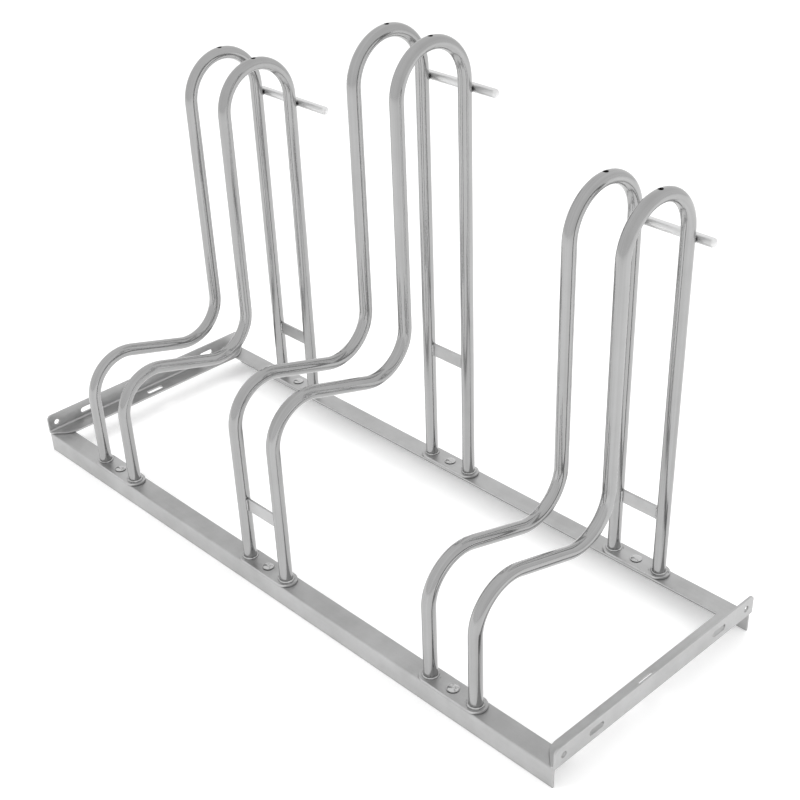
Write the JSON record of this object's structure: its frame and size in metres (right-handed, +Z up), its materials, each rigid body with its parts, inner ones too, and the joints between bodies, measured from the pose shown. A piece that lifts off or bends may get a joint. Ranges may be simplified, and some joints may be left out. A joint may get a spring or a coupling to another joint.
{
  "type": "floor bike rack",
  "caption": "Free-standing floor bike rack: steel angle frame carrying pairs of bent tubes as wheel holders at alternating heights, bolted on through foot plates, with short bars for locks.",
  "frame": {"origin": "middle of the floor frame, on the floor", "axes": "+X along the long rails to the right, +Y to the rear where the hoops and lock bars are, +Z up; the wheel comes in from -Y"},
  "size_m": [1.05, 0.39, 0.6899],
  "materials": {
    "galvanised_angle": "galvanised, satin grey",
    "galvanised_plate": "galvanised, satin grey",
    "galvanised_tube": "galvanised, bright along the bends",
    "galvanised_bar": "galvanised, satin grey",
    "zinc_fastener": "zinc plated, bright",
    "weld_metal": "rippled bead, galvanised over"
  },
  "bodies": {
    "root": {"front_rail": "galvanised_angle", "rear_rail": "galvanised_angle", "left_side_rail": "galvanised_angle", "right_side_rail": "galvanised_angle", "left_front_foot_plate": "galvanised_plate", "left_rear_foot_plate": "galvanised_plate", "middle_front_foot_plate": "galvanised_plate", "middle_rear_foot_plate": "galvanised_plate", "right_front_foot_plate": "galvanised_plate", "right_rear_foot_plate": "galvanised_plate", "left_holder_left_tube": "galvanised_tube", "left_holder_right_tube": "galvanised_tube", "middle_holder_left_tube": "galvanised_tube", "middle_holder_right_tube": "galvanised_tube", "right_holder_left_tube": "galvanised_tube", "right_holder_right_tube": "galvanised_tube", "left_rear_strap": "galvanised_plate", "middle_rear_strap": "galvanised_plate", "right_rear_strap": "galvanised_plate", "middle_front_strap": "galvanised_plate", "left_lock_bar": "galvanised_bar", "middle_lock_bar": "galvanised_bar", "right_lock_bar": "galvanised_bar", "carriage_bolts": "zinc_fastener", "washers": "zinc_fastener", "nuts": "zinc_fastener", "foot_welds": "weld_metal", "strap_welds": "weld_metal", "lock_bar_welds": "weld_metal", "corner_welds": "weld_metal"}
  },
  "joints": []
}
